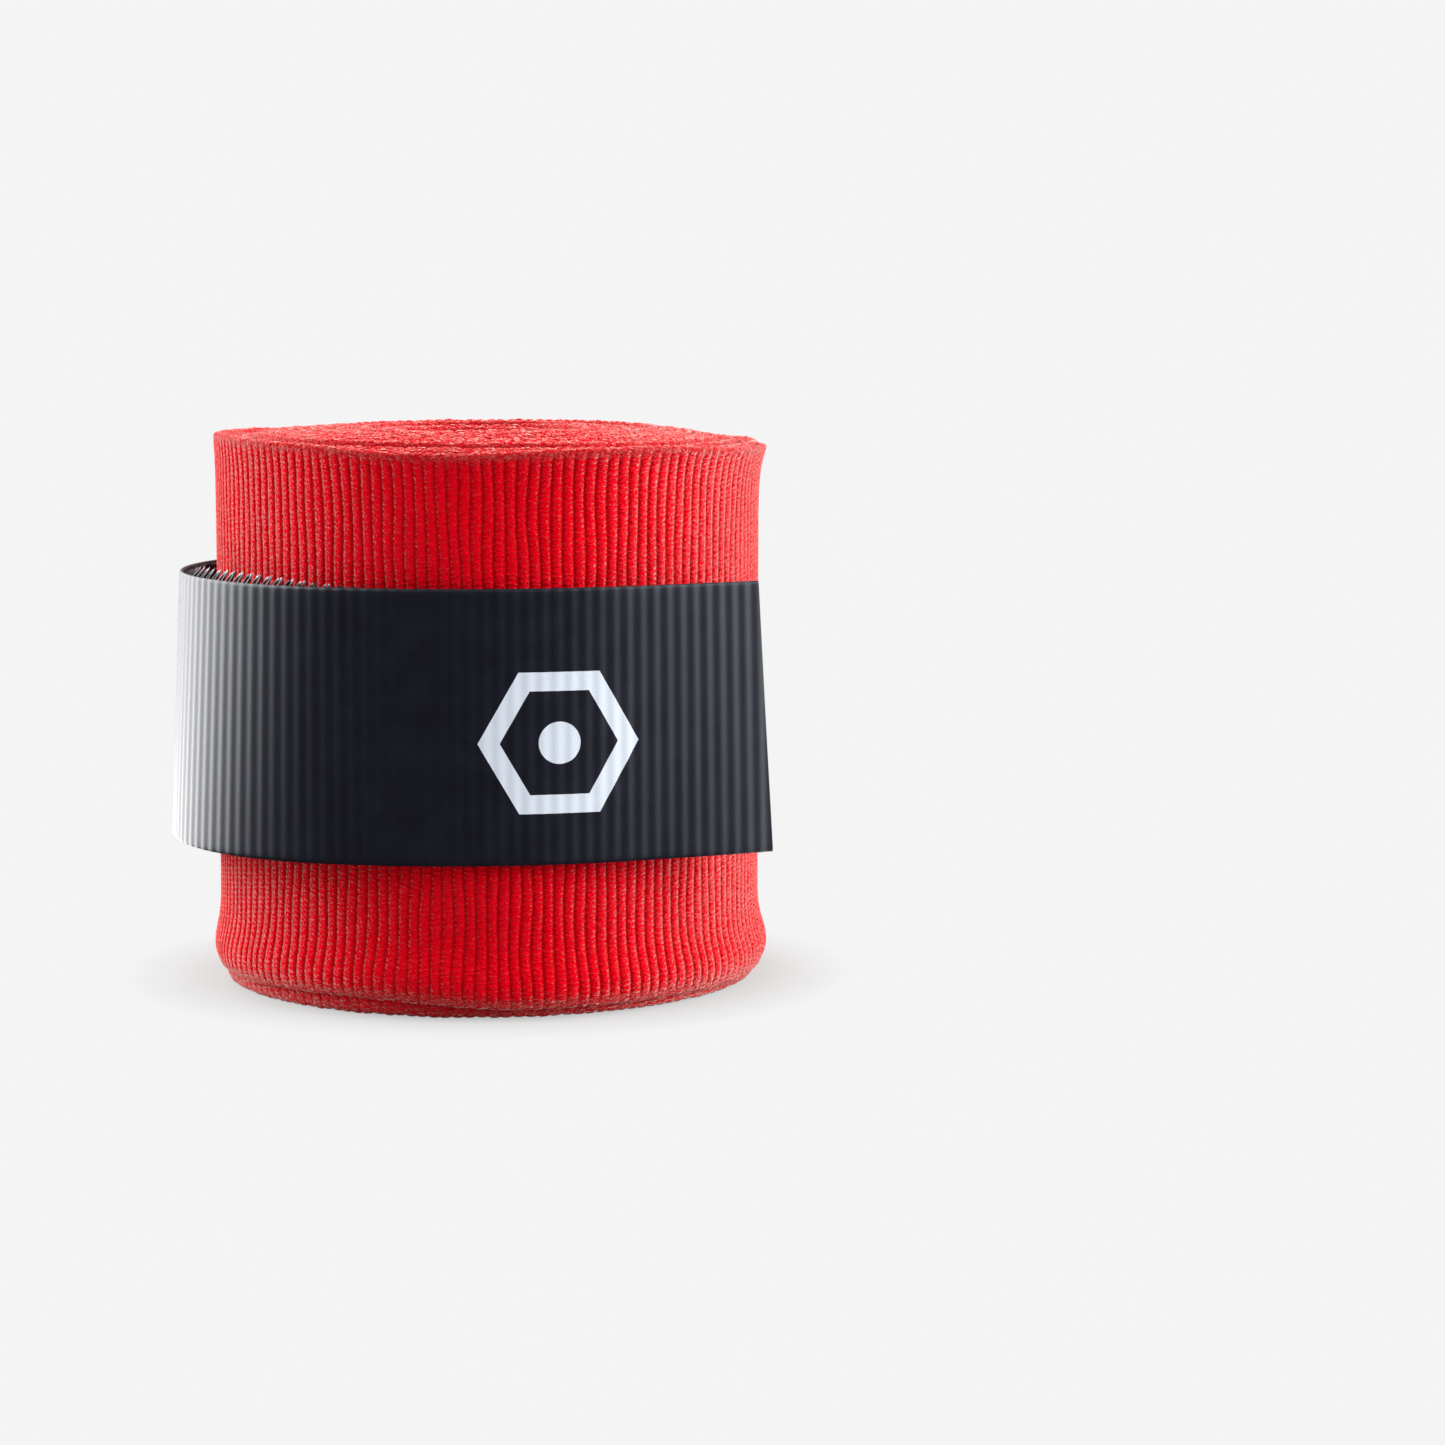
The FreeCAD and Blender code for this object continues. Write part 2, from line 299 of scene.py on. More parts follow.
def web_top(s):
    """The height of the upper selvedge: lowest on the outer turn, and uneven on the others."""
    n = turns_from_end(s)
    outer = 1 - smooth(n, *OUTER_TURN)
    left = 0.5 - 0.5 * np.sin(WEB.heading(s))
    rise = (NEXT_RISE[0] + NEXT_RISE[1] * left) * smooth(n, 0.95, 1.5)
    rise = rise + (INNER_RISE[0] + INNER_RISE[1] * left) * smooth(n, 4.0, 9.0)
    rise = rise - CORE_DROP * smooth(n, 19.0, 25.0)
    uneven = 0.28 * wander(n, 0.9, 11) * smooth(n, 1.0, 3.0) + 0.06 * wander(s, 7 * MM, 12)
    return ROLL_HEIGHT + MM * (-EDGE_LOOP_DEPTH + outer * round_the_roll(s, TOP_EDGE) + rise + uneven)


def web_bottom(s):
    """The height of the lower selvedge: the outer turn is clear of the floor, the next stands on it."""
    n = turns_from_end(s)
    outer = 1 - smooth(n, *OUTER_TURN)
    hang = round_the_roll(s, BOTTOM_EDGE) - EDGE_LOOP_DEPTH + 0.06 * wander(s, 9 * MM, 14)
    uneven = np.abs(wander(n, 0.8, 13)) * smooth(n, 2.2, 4.0)
    return MM * (EDGE_LOOP_DEPTH + hang * outer + 0.55 * uneven)


# The flare of the selvedges: (all round, added towards FLARE_SIDE).
FLARE_SIDE = 1.4  # the path's heading there, in radians
TOP_FLARE = (0.74, 0.42)
TOP_FLARE_REACH = 1.6
BOTTOM_FLARE = (0.80, 0.10)
BOTTOM_FLARE_HEIGHT = 1.9
BOTTOM_FLARE_REACH = 2.3
TUCK = 0.25
TUCK_REACH = 0.4

CURL_LENGTH = 13 * MM  # of the webbing's outer end
CURL = (0.25, 1.9)  # how far it curls up: under the strap, and added beside it


def flare(s, z):
    """How far the selvedges stand out from the roll, less on the inner turns."""
    n = turns_from_end(s)
    angle = WEB.heading(s)
    top_gap = (web_top(s) - z) / MM
    bottom_gap = (z - web_bottom(s)) / MM
    side = np.cos(angle - FLARE_SIDE)
    from_bulge = (bottom_gap - BOTTOM_FLARE_HEIGHT) / BOTTOM_FLARE_REACH
    top = (TOP_FLARE[0] + TOP_FLARE[1] * side) * np.exp(-top_gap / TOP_FLARE_REACH)
    bottom = (BOTTOM_FLARE[0] + BOTTOM_FLARE[1] * side) * np.exp(-(from_bulge**2))
    tuck = TUCK * np.exp(-bottom_gap / TUCK_REACH)
    slack = 0.10 * wander(angle, 1.6, 21, z / MM, 22.0)
    return MM * ((top + bottom - tuck) * np.exp(-n / 4.5) + slack * np.exp(-n / 9.0))


def corner_lift(s, z):
    """The webbing's outer end curls away from the roll beside the strap."""
    end = smooth(s, WEB.length - CURL_LENGTH, WEB.length)
    beside = smooth(np.abs(z - STRAP_MIDDLE), STRAP_WIDTH / 2 - 1 * MM, ROLL_HEIGHT / 2)
    return MM * end**1.5 * (CURL[0] + CURL[1] * beside)


def skew(s, z):
    """How far the fabric is pulled along the roll, so that its ribs lean, bend and waver."""
    lean = 0.75 * wander(s, 24 * MM, 33, z, 30 * MM)
    return MM * (lean + 0.09 * wander(s, 3.4 * MM, 34, z, 4.2 * MM))


def rib_place(s, z):
    """Lengths along the webbing as the ribs count them: the grooves wander a little."""
    return s + 0.05 * MM * wander(s, 2.6 * MM, 31, z, 3.2 * MM) + 0.05 * MM * wander(z, 9 * MM, 32)


def rib_shape(s, z):
    """From 0 in a groove to 1 on a rib. The grooves fade at the selvedges."""
    ridge = np.abs(np.cos(np.pi * rib_place(s, z) / RIB_PITCH)) ** 0.8
    inner = smooth(turns_from_end(s), *OUTER_TURN)
    top = smooth((web_top(s) - z) / MM, 0.2, 1.1)
    bottom = smooth((z - web_bottom(s)) / MM - 0.4 * inner, 0.2, 1.1 + 0.6 * inner)
    return 1 - (1 - ridge) * (EDGE_GROOVE + (1 - EDGE_GROOVE) * np.minimum(top, bottom))


def selvedge(s):
    """The scalloped edge: one small loop for each rib."""
    loop = np.abs(np.cos(np.pi * s / RIB_PITCH))
    return MM * (0.12 * loop - 0.08 + 0.05 * wander(s, 1.1 * MM, 41))


def web_span(first, last, phases, side_gaps, hidden_gaps):
    """A length of webbing as a closed strip. The gaps are heights from each selvedge, in metres."""
    first_rib, last_rib = round(first / RIB_PITCH), round(last / RIB_PITCH)
    ribs = np.arange(first_rib, last_rib)
    s = ((ribs[:, None] + np.array(phases)[None, :]) * RIB_PITCH).ravel()
    s = np.append(s, (last_rib + phases[0]) * RIB_PITCH)
    s = np.clip(s, 0, WEB.length)
    rim = np.radians([20, 45, 70, 90, 110, 135, 160])

    def side(gaps):
        """Shares of the height from the bottom, for gaps from both ends."""
        gaps = np.array(gaps) / ROLL_HEIGHT
        return np.concatenate([gaps, 1 - gaps[::-1]])

    outer, inner = side(side_gaps), side(hidden_gaps)
    shares = np.concatenate([outer, np.ones(len(rim)), inner[::-1], np.zeros(len(rim))])
    across = np.concatenate([np.ones(len(outer)), np.cos(rim), -np.ones(len(inner)), -np.cos(rim)])
    beyond = np.concatenate([np.zeros(len(outer)), np.sin(rim), np.zeros(len(inner)), -np.sin(rim)])
    grid_s = np.repeat(s[:, None], len(shares), axis=1)
    bottom, top = web_bottom(s)[:, None] + EDGE_RADIUS, web_top(s)[:, None] - EDGE_RADIUS
    z = bottom + shares * (top - bottom)
    rib = rib_shape(grid_s, z)
    edge = 1 - smooth(np.minimum(shares, 1 - shares) * (top - bottom), 0.0, EDGE_BAND)
    half = WEB_THICKNESS / 2 + (rib - RIB_LEVEL) * RIB_HEIGHT * np.where(across > 0, 1.0, RIB_BACK)
    half = half * (1 - EDGE_THINNING * edge)
    offset = across * half + flare(grid_s, z) + corner_lift(grid_s, z)
    z = z + beyond * (EDGE_RADIUS + selvedge(s)[:, None])
    flat = WEB.at((grid_s + skew(grid_s, z)).ravel(), offset.ravel())
    points = np.column_stack([flat, z.ravel()])
    uv = np.column_stack([rib_place(grid_s, z).ravel() / MM, z.ravel() / MM])
    return points, tube_faces(len(s), len(shares)), uv, {"rib": rib.ravel(), "edge": edge.ravel()}


def make_webbing(material):
    """The webbing in four lengths: two of hidden turns, the outer turn and the tail."""
    fine = [0.1, 0.35, 0.7, 1.1, 1.6, 2.2, 3.0, 4.0, 5.2, 6.6, 8.2, 10, 12, 14, 16, 18, 20, 22.2, 24.4]
    fine = np.array(fine) * MM
    coarse = np.array([0.4, 1.2, 3.0, 8.0]) * MM
    hidden_coarse = np.array([0.4, 1.2, 5.0]) * MM
    hidden_fine = np.array([0.3, 0.9, 2.0, 4.5, 9.0, 18.0]) * MM
    bend = 7 * MM  # on each side of the tail's hinge, less the start that stays on the roll
    stays = 1 * MM
    overlap = 2 * MM  # of the outer turn, past one full turn
    tail_from = BAND_LENGTH - bend
    outer_from = tail_from - LAST_TURN - overlap
    middle = outer_from / 2
    spans = (
        ("webbing_core_turns", 0.0, middle, HIDDEN_PHASES, coarse, hidden_coarse, "roll"),
        ("webbing_middle_turns", middle, outer_from, HIDDEN_PHASES, coarse, hidden_coarse, "roll"),
        ("webbing_outer_turn", outer_from, tail_from, RIB_PHASES, fine, hidden_fine, "roll"),
        ("webbing_tail", tail_from, WEB.length, RIB_PHASES, fine, hidden_fine, "tail"),
    )
    for name, first, last, phases, gaps, hidden, body in spans:
        piece = new_object(name, *web_span(first, last, phases, gaps, hidden))
        piece.data.materials.append(material)
        if body == "tail":
            start, end = WEB.at(np.array([BAND_LENGTH - bend + stays, BAND_LENGTH + bend]))
            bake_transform(piece)
            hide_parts("wrap_tail")
        else:
            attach(piece, "roll")
    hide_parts("wrap_band")


# -------------------------------------------------------------------- strap
def tip_slant(s, z):
    """How far each place moves along the strap, so that its free end is cut at a slant."""
    return TIP_SLANT * (STRAP_MIDDLE - z) * smooth(s, STRAP.length - TIP_LENGTH, STRAP.length)


def strap_point(s, z, offset):
    """A point of the strap. Its lower edge stands off the roll a little more than its upper one."""
    low = (STRAP_MIDDLE - z) / STRAP_WIDTH + 0.5
    bulge = between(s, *BULGE_LENGTHS)
    tip = smooth(s, STRAP.length - TIP_RISE, STRAP.length)
    lean = BULGE_LEAN * bulge * low + TIP_LEAN * tip * low
    ripple = 0.06 * wander(s, 11 * MM, 51, z, 20 * MM) * smooth(s, 20 * MM, 30 * MM)
    flat = STRAP.at(s, offset + MM * (lean + ripple))
    return np.column_stack([flat, z])


def tape_span(first, last):
    """A length of the strap's backing: ribbed outside, with cut edges."""
    steps = max(8, round((last - first) / (HOOK_PITCH / 6)))
    s = np.linspace(first, last, steps + 1)
    s = np.concatenate([s[:1], [first + SEAM], s[1:-1], [last - SEAM], s[-1:]])
    shares = np.array([0.0, 0.012, 0.03, 0.1, 0.2, 0.3, 0.4, 0.5, 0.6, 0.7, 0.8, 0.9, 0.97, 0.988, 1.0])
    bevel = 0.06 * MM
    inset = np.where((shares == 0) | (shares == 1), bevel, 0.0)
    across = np.concatenate([shares, shares[::-1]])
    side = np.concatenate([np.ones(len(shares)), -np.ones(len(shares))])
    inset = np.concatenate([inset, inset])
    grid_s = np.repeat(s[:, None], len(across), axis=1)
    z = STRAP_LOW + np.repeat(across[None, :], len(s), axis=0) * STRAP_WIDTH
    grid_s = grid_s + tip_slant(grid_s, z)
    rib = np.cos(2 * math.pi * grid_s / HOOK_PITCH)
    half = BACKING / 2 - inset + np.where(side > 0, TAPE_RIB * rib, 0.0)
    points = strap_point(grid_s.ravel(), z.ravel(), (side * half).ravel())
    uv = np.column_stack([grid_s.ravel() / MM, z.ravel() / MM])
    outside = np.repeat(side[None, :] > 0, len(s), axis=0).ravel().astype(float)
    return points, tube_faces(len(s), len(across)), uv, {"outside": outside, "glint": 0 * outside}


# One hook: its middle line as (along the strap, down from the backing), and its half thickness.
HOOK_LINE = np.array([(0.0, -0.05), (0.0, 0.30), (0.03, 0.50), (0.12, 0.67), (0.27, 0.74), (0.40, 0.62)])
HOOK_HALF = np.array([0.20, 0.13, 0.115, 0.10, 0.08, 0.045])
HOOK_HALF_WIDTH = 0.15
HOOK_SHIFT = 0.1 * MM  # of a row, against the way its hooks point
RIM_REACH = 0.95 * MM  # how far the uppermost hooks lean up where the strap stands off the roll
RIM_BAND = (1.2 * MM, 0.2 * MM)  # hooks lean more and more between these distances below the rim
RIM_LEAST = 0.1 * MM  # with less lean than this, the uppermost row is like the others
RIM_STEP = 0.1 * MM  # how much higher every second hook of a leaning row stands
RIM_SHOWN = 0.3 * MM  # hooks that lean more than this are shorter and may get a painted glint
RIM_HOOK_LENGTH = 0.6  # of such a hook, as a share of the others'
RIM_GLINTS = 0.65  # the share of them that get a painted glint
HOOK_TIP = (0.45 * MM, 0.7 * MM)  # a glinting hook's painted glint runs from this depth to its tip


def rim_lean(s):
    """How far the tips of the uppermost hooks lean up past the rim, where it stands off the roll."""
    return RIM_REACH * between(s, *RIM_LENGTHS)


def hook_span(first, last):
    """The rows of hooks on a length of the strap. Every other row points the other way."""
    rows = np.arange(math.ceil(first / HOOK_PITCH - 0.5), math.ceil(last / HOOK_PITCH - 0.5))
    count = int(STRAP_WIDTH / HOOK_SPACING)
    across = STRAP_LOW + (np.arange(count) + 0.5) * STRAP_WIDTH / count
    corners = ((-1, -1), (1, -1), (1, 1), (-1, 1))
    direction = np.gradient(HOOK_LINE, axis=0)
    direction /= np.linalg.norm(direction, axis=1)[:, None]
    normal = np.column_stack([-direction[:, 1], direction[:, 0]])
    along, down, wide = [], [], []
    for station in range(len(HOOK_LINE)):
        for in_plane, in_width in corners:
            place = HOOK_LINE[station] + in_plane * HOOK_HALF[station] * normal[station]
            along.append(place[0])
            down.append(place[1])
            wide.append(in_width * HOOK_HALF_WIDTH)
    along, down, wide = (np.array(v) * MM for v in (along, down, wide))
    one = tube_faces(len(HOOK_LINE), len(corners))
    places = []
    for row in rows:
        way = 1 if row % 2 else -1
        middle = (row + 0.5) * HOOK_PITCH
        centre = middle - way * HOOK_SHIFT
        places += [(centre, height, way) for height in across[:-1]]
        if rim_lean(middle) > RIM_LEAST:
            places.append((middle, across[-1], 1))
            places.append((middle + HOOK_PITCH / 2, across[-1] + RIM_STEP, -1))
        else:
            places.append((centre, across[-1], way))
    random = np.random.default_rng(61)
    points, faces, uv, glint, size = [], [], [], [], len(along)
    for centre, height, way in places:
        rise = rim_lean(centre) * smooth(height, STRAP_HIGH - RIM_BAND[0], STRAP_HIGH - RIM_BAND[1])
        z = height + wide + rise * down / HOOK_HEIGHT
        at_rim = rise > RIM_SHOWN
        s = centre + way * along * (RIM_HOOK_LENGTH if at_rim else 1.0)
        s = s + tip_slant(s, height)
        start = len(points) * size
        points.append(strap_point(s, z, -BACKING / 2 - down))
        faces += [[index + start for index in (face if way > 0 else face[::-1])] for face in one]
        uv.append(np.column_stack([s / MM, z / MM]))
        # Some rim hooks get a painted glint on their tips.
        glint_strength = random.uniform(0.5, 1.0) * (at_rim and random.random() < RIM_GLINTS)
        glint.append(smooth(down, *HOOK_TIP) * glint_strength)
    points, uv, glint = np.concatenate(points), np.concatenate(uv), np.concatenate(glint)
    return points, faces, uv, {"outside": 0 * glint, "glint": glint}


def make_strap(material):
    """The strap cut at the middles of its links, so that each hinge falls inside one piece."""
    hinge = [ROOT_LENGTH + n * SECTION_LENGTH for n in range(SECTIONS)]
    middles = [ROOT_LENGTH / 2] + [place + SECTION_LENGTH / 2 for place in hinge]
    ends = [0.0] + middles + [STRAP.length]
    bodies = ["tail"] + [f"section_{n}" for n in range(1, SECTIONS + 1)]
    for number, (first, last) in enumerate(zip(ends, ends[1:])):
        name = f"strap_piece_{number}"
        piece = new_object(name, *joined([tape_span(first, last), hook_span(first, last)]))
        piece.data.materials.append(material)
        if 0 < number <= SECTIONS:
            bend_from = max(first, hinge[number - 1] - SECTION_LENGTH / 2)
            if number == 1:
                bend_from = hinge[0] - ROOT_BEND
            start, end = STRAP.at(np.array([bend_from, last]))
            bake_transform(piece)
            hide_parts(f"strap_section_{number}")
        else:
            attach(piece, bodies[min(number, SECTIONS)])
        if number == 0:
            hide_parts("strap_root")


# --------------------------------------------------------------- thumb loop
LOOP_HALF_TURNS = 4
LOOP_RADIUS = 0.56 * MM
LOOP_PITCH = 1.0 * MM
LOOP_FLAT = 4.2 * MM
LOOP_INSET = 0.8 * MM
LOOP_LEG = 9.5 * MM
LOOP_THICKNESS = 0.92 * MM
LOOP_CROWN = 6.0 * MM
LOOP_EDGE_RADIUS = 0.3 * MM
LOOP_STEP = 0.25 * MM
WEAVE_PITCH = 0.85 * MM
WEAVE_HEIGHT = 0.09 * MM
LOOP_TRIM = 0.06 * MM  # off each face, to leave room for the weave


def make_loop_path():
    """The loop tape's winding, centred in the webbing's first turn."""
    runs = []
    for number in range(LOOP_HALF_TURNS):
        radius = LOOP_RADIUS + number * LOOP_PITCH / 2
        runs += [(math.pi * radius, math.pi), (LOOP_FLAT, 0.0)]
    runs = runs[:-1]
    heading = WEB.headings[0]
    trial = Path((0, 0), heading, runs)
    left = np.array([-math.sin(heading), math.cos(heading)])
    back = -np.array([math.cos(heading), math.sin(heading)])
    core_middle = WEB.starts[0] + CORE_RADIUS * left + CORE_FLAT / 2 * back
    second = trial.starts[2] - (LOOP_RADIUS + LOOP_PITCH / 2) * left
    middle = (LOOP_RADIUS * left + second) / 2
    return Path(core_middle - middle, heading, runs)


LOOP = make_loop_path()


def loop_span(first, last, low, high):
    """A strip of woven tape between two lengths and two heights."""
    s = np.linspace(first, last, max(4, round((last - first) / LOOP_STEP)))
    rim = np.radians([25, 60, 90, 120, 155])
    shares = np.linspace(0, 1, 9)
    zeros, ones = np.zeros(len(shares)), np.ones(len(shares))
    share = np.concatenate([shares, np.ones(len(rim)), shares[::-1], np.zeros(len(rim))])
    across = np.concatenate([ones, np.cos(rim), -ones, -np.cos(rim)])
    beyond = np.concatenate([zeros, np.sin(rim), zeros, -np.sin(rim)])
    radius = LOOP_EDGE_RADIUS
    loops = WEAVE_HEIGHT * np.abs(np.cos(np.pi * s / WEAVE_PITCH))
    half = LOOP_THICKNESS / 2 - LOOP_TRIM + 0.5 * loops
    grid_s = np.repeat(s[:, None], len(share), axis=1)
    z = low + radius + share * (high - low - 2 * radius) + beyond * (radius + loops[:, None])
    flat = LOOP.at(grid_s.ravel(), (across * half[:, None]).ravel())
    points = np.column_stack([flat, z.ravel()])
    uv = np.column_stack([grid_s.ravel() / MM, z.ravel() / MM])
    return points, tube_faces(len(s), len(share)), uv, {}


def make_thumb_loop(material):
    """Two legs that meet in a crown at the core, and in the sewn end outside."""
    low, high = LOOP_INSET, ROLL_HEIGHT - LOOP_INSET
    spans = [
        loop_span(0, LOOP.length, low, low + LOOP_LEG),
        loop_span(0, LOOP.length, high - LOOP_LEG, high),
        loop_span(0, LOOP_CROWN, low + LOOP_LEG, high - LOOP_LEG),
        loop_span(LOOP.length - LOOP_CROWN, LOOP.length, low + LOOP_LEG, high - LOOP_LEG),
    ]
    piece = new_object("thumb_loop_tape", *joined(spans))
    piece.data.materials.append(material)
    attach(piece, "roll")
    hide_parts("thumb_loop")


# ---------------------------------------------------------------- materials
class Shader:
    """A material whose nodes are added one call at a time."""

    def __init__(self, name):
        self.material = bpy.data.materials.new(name)
        self.material.use_nodes = True
        self.tree = self.material.node_tree
        self.surface = self.tree.nodes["Principled BSDF"]

    def put(self, node, inputs):
        """Sets a node's inputs: a socket is linked to its input, and anything else is its value."""
        for key, value in inputs.items():
            socket = node.inputs[key]
            if isinstance(value, bpy.types.NodeSocket):
                self.tree.links.new(value, socket)
            else:
                socket.default_value = value

    def node(self, kind, settings=None, **inputs):
        """A new node. An underscore in an input's keyword stands for a space."""
        made = self.tree.nodes.new(kind)
        for key, value in (settings or {}).items():
            setattr(made, key, value)
        self.put(made, {key.replace("_", " "): value for key, value in inputs.items()})
        return made

    def math(self, operation, *values):
        """The result of one sum."""
        made = self.tree.nodes.new("ShaderNodeMath")
        made.operation = operation
        self.put(made, dict(enumerate(values)))
        return made.outputs[0]

    def value(self, name):
        """A number that the mesh has at each of its points."""
        made = self.tree.nodes.new("ShaderNodeAttribute")
        made.attribute_name = name
        return made.outputs["Fac"]

    def uv(self):
        """The piece's own coordinates in millimetres: along it, and up."""
        layer = self.node("ShaderNodeUVMap", {"uv_map": "UVMap"})
        split = self.node("ShaderNodeSeparateXYZ", Vector=layer.outputs[0])
        return layer.outputs[0], split.outputs[0], split.outputs[1]

    def noise(self, vector, scale, detail=2.0, stretch=(1, 1, 1), twist=0.0):
        """Smooth noise from 0 to 1, with about scale features a millimetre."""
        mapping = self.node("ShaderNodeMapping", Vector=vector, Scale=stretch)
        made = self.node(
            "ShaderNodeTexNoise", Vector=mapping.outputs[0], Scale=scale, Detail=detail, Distortion=twist
        )
        return made.outputs["Fac"]

    def ramp(self, factor, stops):
        """A colour from stops of (place, colour)."""
        made = self.node("ShaderNodeValToRGB", Fac=factor)
        elements = made.color_ramp.elements
        while len(elements) < len(stops):
            elements.new(0.5)
        for element, (place, color) in zip(elements, stops):
            element.position = place
            element.color = color if len(color) == 4 else (*color, 1)
        return made.outputs["Color"]

    def mix(self, factor, first, second, blend="MIX"):
        """Two colours mixed."""
        made = self.tree.nodes.new("ShaderNodeMix")
        made.data_type = "RGBA"
        made.blend_type = blend
        self.put(made, {0: factor, 6: first, 7: second})
        return made.outputs[2]

    def bump(self, height, distance):
        """The surface's direction with a height of this many metres laid on it."""
        made = self.node("ShaderNodeBump", Height=height, Distance=distance)
        return made.outputs["Normal"]


THREAD_PITCH = 0.46  # of the knit's cross threads, in millimetres up the webbing
# The knit's tones, from its grooves to its ribs: the grooves get painted shade, darker than the ribs.
KNIT_GROOVE_SHADE_TONES = ((0.1, (0.45, 0.0001, 0.004)), (0.5, (0.65, 0.0002, 0.006)), (0.85, (0.84, 0.0004, 0.010)))
# Paler fibre flecks, and painted highlights on the knots of the ribs' flanks.
FLECK_AND_HIGHLIGHT_TONE = (0.88, 0.045, 0.045, 1)
# A duller, darker red on the selvedges: painted shade that tones down their tops, which the strong light
# from above reaches.
SELVEDGE_SHADE_TONE = (0.37, 0.009, 0.014, 1)
# Pale flecks on the selvedges: loose loops of fuzz, with painted highlight where the top light catches
# them.
SELVEDGE_FUZZ_HIGHLIGHT_TONE = (0.60, 0.10, 0.09, 1)


def webbing_material():
    """Red elastic knit: rounded ribs with fine cross threads, darker grooves and a soft fuzz. The
    grooves' darkness is painted shade; the knots carry painted highlights and the selvedges a painted
    darker tone.
    """
    shader = Shader("webbing_knit")
    uv, along, up = shader.uv()
    rib, edge = shader.value("rib"), shader.value("edge")
    drift = shader.noise(uv, 1.4, 3.0)
    fibres = shader.noise(uv, 3.6, 3.0, (0.8, 1.2, 1.0), 1.6)
    place = shader.math("MULTIPLY", along, MM / RIB_PITCH)
    row = shader.math("MULTIPLY_ADD", drift, 0.7, up)
    row = shader.math("MULTIPLY_ADD", shader.math("ROUND", place), 0.31, row)
    threads = shader.math("SINE", shader.math("MULTIPLY", row, 2 * math.pi / THREAD_PITCH))
    place = shader.math("MULTIPLY_ADD", threads, 0.055, place)
    place = shader.math("MULTIPLY_ADD", fibres, 0.22, place)
    # The crests of ridge sit 0.11 of a pitch along the webbing from the ribs' own. In the colour this
    # paints one flank of each rib lighter, as if lit from that side.
    turn = shader.math("MULTIPLY", shader.math("SUBTRACT", place, 0.11), math.pi)
    ridge = shader.math("POWER", shader.math("ABSOLUTE", shader.math("COSINE", turn)), 0.8)
    ridge = shader.math("MAXIMUM", ridge, shader.math("MULTIPLY", shader.math("POWER", edge, 2.0), 0.9))
    # One flank counts fully and the other 0.6. In the colour this puts the knots' painted highlights
    # mostly on the flank the light falls on.
    flank = shader.math("SINE", shader.math("MULTIPLY", turn, 2.0))
    flank = shader.math("MAXIMUM", flank, shader.math("MULTIPLY", flank, -0.6))
    on_flank = shader.math("MULTIPLY_ADD", flank, 0.7, 0.3)
    knots = shader.math("MULTIPLY", shader.math("MAXIMUM", threads, 0.0), on_flank)
    # Painted shade: the tone darkens into the grooves, both the colour's own grooves and the mesh's.
    shape = shader.math("MULTIPLY_ADD", ridge, 0.6, shader.math("MULTIPLY", rib, 0.4))
    tone = shader.ramp(shape, KNIT_GROOVE_SHADE_TONES)
    patches = shader.noise(uv, 0.13, 2.0, (1.0, 0.5, 1.0))
    shade = shader.ramp(patches, [(0.3, (0.88, 0.88, 0.88)), (0.7, (1.0, 1.0, 1.0))])
    tone = shader.mix(1.0, tone, shade, "MULTIPLY")
    # Paler flecks where fibres stand out, and painted highlights on the knots, mixed into the base
    # colour.
    speck = shader.ramp(fibres, [(0.46, (0, 0, 0)), (0.66, (1, 1, 1))])
    fleck_and_highlight = shader.math("MULTIPLY", speck, shader.math("MULTIPLY_ADD", knots, 0.5, 0.10))
    tone = shader.mix(fleck_and_highlight, tone, FLECK_AND_HIGHLIGHT_TONE)
    # Painted shade on the selvedges.
    tone = shader.mix(shader.math("MULTIPLY", edge, 0.6), tone, SELVEDGE_SHADE_TONE)
    # Fuzz flecks on the selvedges, partly painted highlight.
    tone = shader.mix(shader.math("MULTIPLY", edge, speck), tone, SELVEDGE_FUZZ_HIGHLIGHT_TONE)
    height = shader.math("MULTIPLY_ADD", knots, 1.5, shader.math("MULTIPLY", fibres, 2.4))
    height = shader.math("MULTIPLY_ADD", ridge, 0.8, height)
    normal = shader.bump(height, 0.12 * MM)
    fuzz = shader.math("MULTIPLY_ADD", knots, 0.6, shader.math("MULTIPLY_ADD", speck, 2.0, 0.15))
    fuzz = shader.math("MULTIPLY", fuzz, shader.math("MULTIPLY_ADD", rib, 0.40, 0.60))
    fuzz = shader.math("MULTIPLY", fuzz, shader.math("MULTIPLY_ADD", edge, -0.35, 1.0))
    facing = shader.node("ShaderNodeLayerWeight").outputs["Facing"]
    fuzz = shader.math("MULTIPLY", fuzz, shader.math("MULTIPLY_ADD", facing, 2.6, 0.04))
    fuzz = shader.math("MINIMUM", fuzz, 1.0)
    shader.put(
        shader.surface,
        {
            "Base Color": tone,
            "Normal": normal,
            "Roughness": 0.95,
            "Specular IOR Level": 0.0,
            "Sheen Weight": fuzz,
            "Sheen Roughness": 0.25,
            "Sheen Tint": (1.0, 0.86, 0.78, 1),
        },
    )
    return shader.material


# The mark, in millimetres: its place along the strap and up, and its own sizes.
MARK_PLACE = (106.8, 25.2)
MARK_RING = 5.5
MARK_LINE = 1.7
MARK_DOT = 1.9
MARK_TONE = (0.60, 0.65, 0.73, 1)
# The pale grey of the painted glints on the rim hooks' tips.
GLINT_TONE = (0.62, 0.65, 0.68, 1)
GRAIN_PITCH = 0.30  # of the strap's fine diagonal grain, in millimetres


